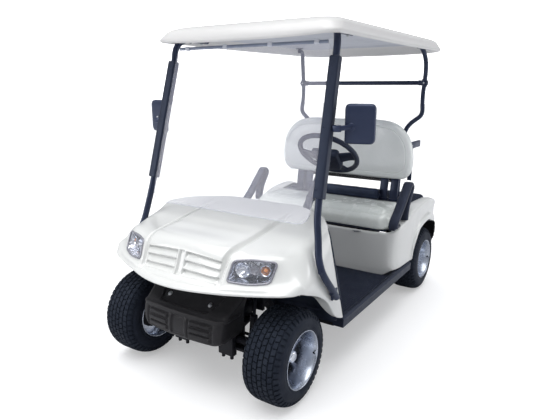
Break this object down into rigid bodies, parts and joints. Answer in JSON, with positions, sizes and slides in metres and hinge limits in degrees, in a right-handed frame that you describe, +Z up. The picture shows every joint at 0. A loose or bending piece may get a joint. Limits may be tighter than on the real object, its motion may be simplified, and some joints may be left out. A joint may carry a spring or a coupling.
{
  "type": "two-seat golf cart",
  "caption": "Open golf cart with moulded white body, canopy roof, windshield, bench seat, steered front axle and wide low tyres.",
  "frame": {"origin": "on the ground, halfway between the axles, on the cart's centre line; the bounding box's bottom centre", "axes": "+Z up, -Y towards the front, +X towards the driver's side (the cart's left)"},
  "size_m": [1.402, 2.25, 1.752],
  "materials": {
    "body_gloss": "white pearl gloss moulding",
    "frame_black": "black satin powder coat",
    "trim_black": "black moulded plastic",
    "bumper_grey": "charcoal grained plastic",
    "seat_vinyl": "pale cream gloss vinyl",
    "tyre": "black rubber",
    "alloy": "polished alloy",
    "windshield": "clear acrylic",
    "lamp_clear": "clear lens over bright reflector",
    "lamp_red": "red lens",
    "battery": "battery cases, black plastic",
    "floor_mat": "ribbed rubber mat"
  },
  "bodies": {
    "frame": {"chassis_frame": "frame_black", "front_cowl": "body_gloss", "front_bumper": "bumper_grey", "headlight_left": "lamp_clear", "headlight_right": "lamp_clear", "dashboard": "trim_black", "floor_pan": "floor_mat", "rear_body": "body_gloss", "bag_deck": "floor_mat", "battery_pack": "battery", "armrest_left": "trim_black", "armrest_right": "trim_black", "backrest": "seat_vinyl", "backrest_frame": "frame_black", "hip_pad": "trim_black", "sweater_basket": "trim_black", "windshield": "windshield", "front_post_left": "frame_black", "front_post_right": "frame_black", "roof": "body_gloss", "rear_strut_left": "frame_black", "rear_strut_right": "frame_black", "rear_crossbar": "frame_black", "mirror_left": "trim_black", "mirror_right": "trim_black", "steering_column": "trim_black", "pedal_assembly": "frame_black", "front_axle": "frame_black", "front_suspension_left": "frame_black", "front_suspension_right": "frame_black", "rear_axle": "frame_black", "rear_suspension_left": "frame_black", "rear_suspension_right": "frame_black", "rear_bumper": "trim_black", "tail_light_left": "lamp_red", "tail_light_right": "lamp_red"},
    "seat_lid": {"seat_base": "trim_black", "seat_cushion": "seat_vinyl"},
    "hand_wheel": {"steering_wheel": "trim_black"},
    "steer_left": {"knuckle_left": "frame_black"},
    "steer_right": {"knuckle_right": "frame_black"},
    "track_rod": {"tie_rod": "frame_black"},
    "roll_front_left": {"tyre_front_left": "tyre", "wheel_front_left": "alloy"},
    "roll_front_right": {"tyre_front_right": "tyre", "wheel_front_right": "alloy"},
    "roll_rear_left": {"tyre_rear_left": "tyre", "wheel_rear_left": "alloy"},
    "roll_rear_right": {"tyre_rear_right": "tyre", "wheel_rear_right": "alloy"}
  },
  "joints": [
    {"name": "steer", "type": "hinge", "parent": "frame", "child": "steer_left", "pos_m": [0.33, -0.835, 0.226], "axis": [0, 0, 1], "range_deg": [-24, 24]},
    {"name": "steer_right_knuckle", "type": "hinge", "parent": "frame", "child": "steer_right", "pos_m": [-0.33, -0.835, 0.226], "axis": [0, 0, 1], "range_deg": [-24, 24]},
    {"name": "tie_rod_pin", "type": "hinge", "parent": "steer_left", "child": "track_rod", "pos_m": [0.33, -0.72, 0.183], "axis": [0, 0, 1], "range_deg": [-24, 24]},
    {"name": "steering_wheel_turn", "type": "hinge", "parent": "frame", "child": "hand_wheel", "pos_m": [0.25, -0.064, 1.056], "axis": [0, 0.6606, 0.7507], "range_deg": [-336, 336]},
    {"name": "seat_lift", "type": "hinge", "parent": "frame", "child": "seat_lid", "pos_m": [0, 0.25, 0.552], "axis": [1, 0, 0], "range_deg": [0, 75]},
    {"name": "front_left_wheel_spin", "type": "hinge", "parent": "steer_left", "child": "roll_front_left", "pos_m": [0.45, -0.835, 0.226], "axis": [1, 0, 0], "continuous": true},
    {"name": "front_right_wheel_spin", "type": "hinge", "parent": "steer_right", "child": "roll_front_right", "pos_m": [-0.45, -0.835, 0.226], "axis": [1, 0, 0], "continuous": true},
    {"name": "rear_left_wheel_spin", "type": "hinge", "parent": "frame", "child": "roll_rear_left", "pos_m": [0.471, 0.835, 0.226], "axis": [1, 0, 0], "continuous": true},
    {"name": "rear_right_wheel_spin", "type": "hinge", "parent": "frame", "child": "roll_rear_right", "pos_m": [-0.471, 0.835, 0.226], "axis": [1, 0, 0], "continuous": true}
  ],
  "couplings": [
    {"joint": "steer_right_knuckle", "follows": "steer", "ratio": 1},
    {"joint": "tie_rod_pin", "follows": "steer", "ratio": -1},
    {"joint": "steering_wheel_turn", "follows": "steer", "ratio": 14}
  ]
}
